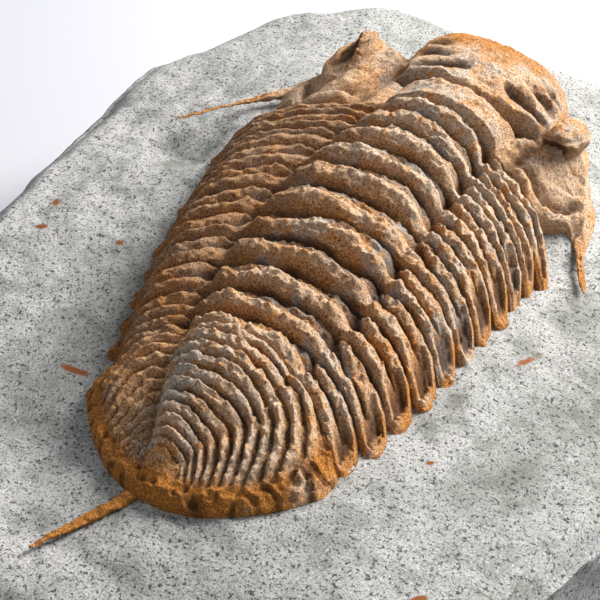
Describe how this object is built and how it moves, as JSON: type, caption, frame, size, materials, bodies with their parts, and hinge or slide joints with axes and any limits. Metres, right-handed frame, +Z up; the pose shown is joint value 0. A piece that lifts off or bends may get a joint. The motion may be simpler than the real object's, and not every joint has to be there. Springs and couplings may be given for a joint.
{
  "type": "trilobite fossil on matrix",
  "caption": "Spiny trilobite fossil with head shield, body segments and tail shield, lying fixed on a loose slab of pale rock with a flat foot.",
  "frame": {"origin": "centre of the slab's flat foot, on the surface it rests on", "axes": "+Z up, +Y towards the animal's head along the slab's length, +X towards the animal's right side"},
  "size_m": [0.09, 0.124, 0.037],
  "materials": {
    "matrix_rock": "rough pale speckled stone",
    "fossil_crust": "grainy rust brown mineral crust"
  },
  "bodies": {
    "root": {"matrix_slab": "matrix_rock", "cephalon": "fossil_crust", "thorax_segment_01": "fossil_crust", "thorax_segment_02": "fossil_crust", "thorax_segment_03": "fossil_crust", "thorax_segment_04": "fossil_crust", "thorax_segment_05": "fossil_crust", "thorax_segment_06": "fossil_crust", "thorax_segment_07": "fossil_crust", "thorax_segment_08": "fossil_crust", "thorax_segment_09": "fossil_crust", "thorax_segment_10": "fossil_crust", "thorax_segment_11": "fossil_crust", "pygidium": "fossil_crust"}
  },
  "joints": []
}
